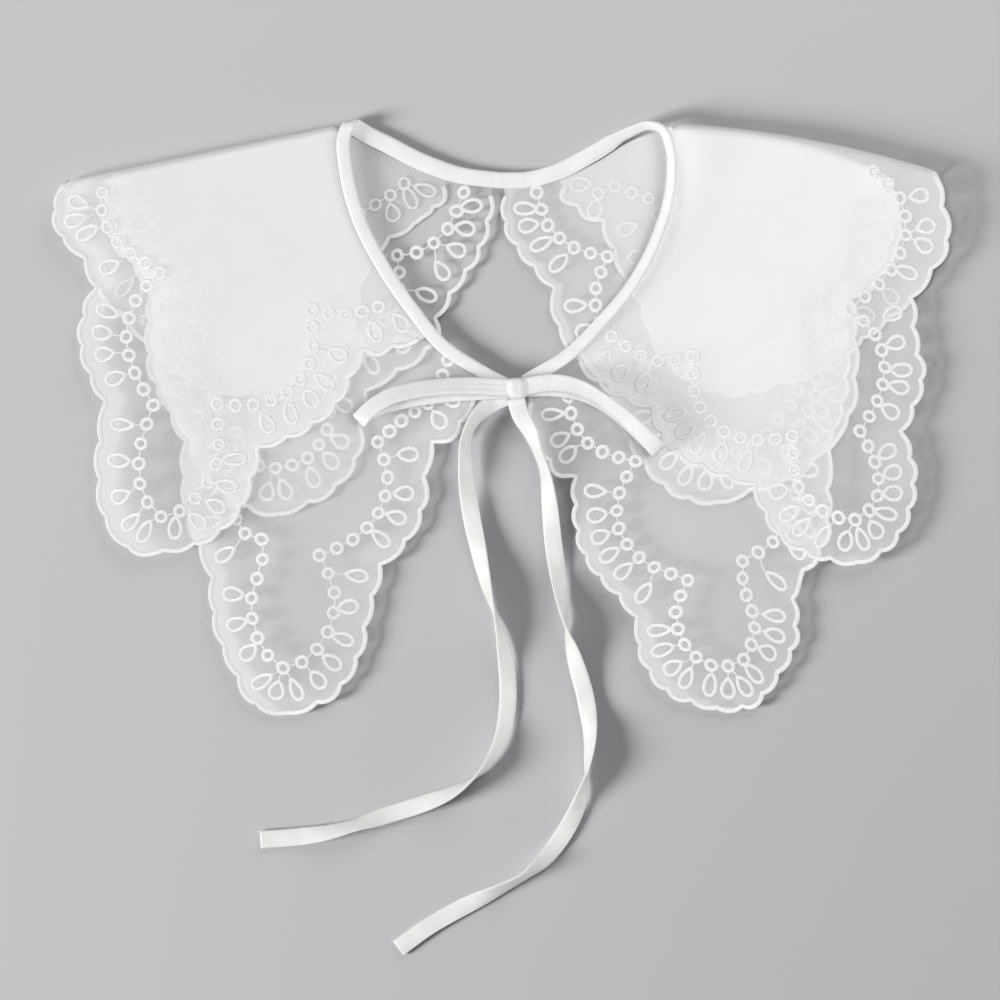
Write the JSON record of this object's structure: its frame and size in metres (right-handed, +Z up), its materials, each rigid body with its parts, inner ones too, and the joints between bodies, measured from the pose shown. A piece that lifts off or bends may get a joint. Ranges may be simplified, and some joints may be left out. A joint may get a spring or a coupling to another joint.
{
  "type": "lace collar",
  "caption": "Two-tier sheer embroidered collar with scalloped edges and a bound neck tied in a bow, laid out flat, front folded over back.",
  "frame": {"origin": "centre of the collar's bounding box, ties left out, at the surface it lies on", "axes": "+Z up from the surface, +Y towards the back of the neck, +X to the right as seen from above"},
  "size_m": [0.4044, 0.3765, 0.0149],
  "materials": {
    "organza": "satin",
    "satin_binding": "satin",
    "satin_tape": "satin"
  },
  "bodies": {
    "root": {"upper_tier_left": "organza", "upper_tier_right": "organza", "lower_tier_left": "organza", "lower_tier_right": "organza", "neck_binding": "satin_binding", "bow_knot": "satin_tape", "bow_loop_left": "satin_tape", "bow_loop_right": "satin_tape", "tail_left": "satin_tape", "tail_right": "satin_tape"}
  },
  "joints": []
}
